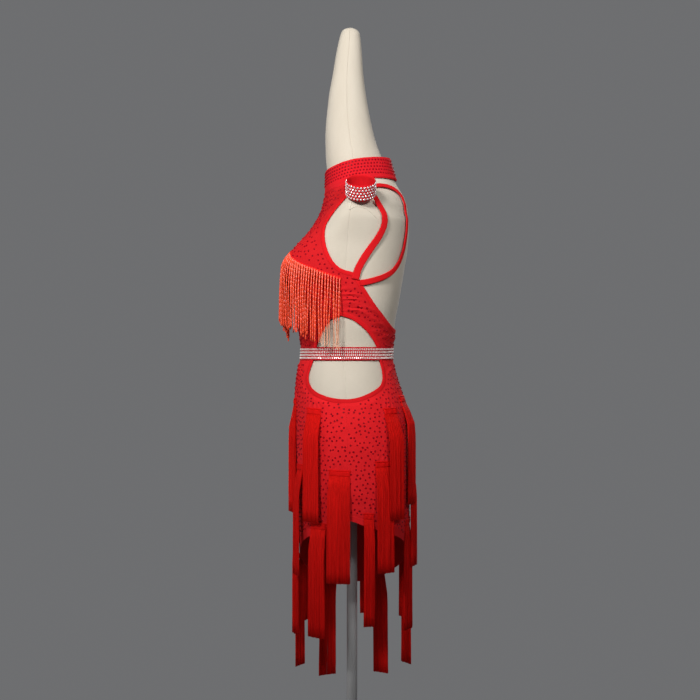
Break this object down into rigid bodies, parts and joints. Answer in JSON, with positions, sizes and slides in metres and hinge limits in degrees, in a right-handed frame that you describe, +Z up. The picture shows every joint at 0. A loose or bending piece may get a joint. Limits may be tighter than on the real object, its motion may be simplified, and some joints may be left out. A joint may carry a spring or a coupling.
{
  "type": "salsa dance dress on a limbless dress form",
  "caption": "Fitted backless halter dance dress with side cut-outs, beaded bust fringe, crystal belt and tiers of tassels, on a limbless dress form with a round base.",
  "frame": {"origin": "on the floor, under the middle of the stand's round base", "axes": "+Z up; the dress faces -Y and the wearer's left side is +X"},
  "size_m": [0.42, 0.42, 1.7136],
  "materials": {
    "stretch_cloth": "matt red stretch jersey set with dark red stones",
    "collar_band": "double red jersey with rows of dark red stones",
    "crystal_band": "red band closely set with clear crystals",
    "beaded_fringe": "strung orange-red glass seed beads",
    "tassel_yarn": "fine red chainette yarn with a silky sheen",
    "form_cover": "cream woven cover",
    "painted_metal": "light grey satin enamel",
    "crystals": "clear faceted stones with mirrored backs",
    "dark_stones": "dark red faceted stones"
  },
  "bodies": {
    "root": {"form_body": "form_cover", "stand_pole": "painted_metal", "stand_flange": "painted_metal", "stand_base": "painted_metal", "bodice_front": "stretch_cloth", "bodice_back": "stretch_cloth", "skirt_front": "stretch_cloth", "skirt_back": "stretch_cloth", "strap_side_left": "stretch_cloth", "strap_side_right": "stretch_cloth", "strap_back_left": "stretch_cloth", "strap_back_right": "stretch_cloth", "collar": "collar_band", "belt": "crystal_band", "cuff_left": "crystal_band", "cuff_right": "crystal_band", "fringe_left": "beaded_fringe", "fringe_right": "beaded_fringe", "tassel_01": "tassel_yarn", "tassel_02": "tassel_yarn", "tassel_03": "tassel_yarn", "tassel_04": "tassel_yarn", "tassel_05": "tassel_yarn", "tassel_06": "tassel_yarn", "tassel_07": "tassel_yarn", "tassel_08": "tassel_yarn", "tassel_09": "tassel_yarn", "tassel_10": "tassel_yarn", "tassel_11": "tassel_yarn", "tassel_12": "tassel_yarn", "tassel_13": "tassel_yarn", "tassel_14": "tassel_yarn", "tassel_15": "tassel_yarn", "tassel_16": "tassel_yarn", "tassel_17": "tassel_yarn", "tassel_18": "tassel_yarn", "tassel_19": "tassel_yarn", "tassel_20": "tassel_yarn", "tassel_21": "tassel_yarn", "tassel_22": "tassel_yarn", "tassel_23": "tassel_yarn", "tassel_24": "tassel_yarn", "tassel_25": "tassel_yarn", "tassel_26": "tassel_yarn", "tassel_27": "tassel_yarn"}
  },
  "joints": []
}
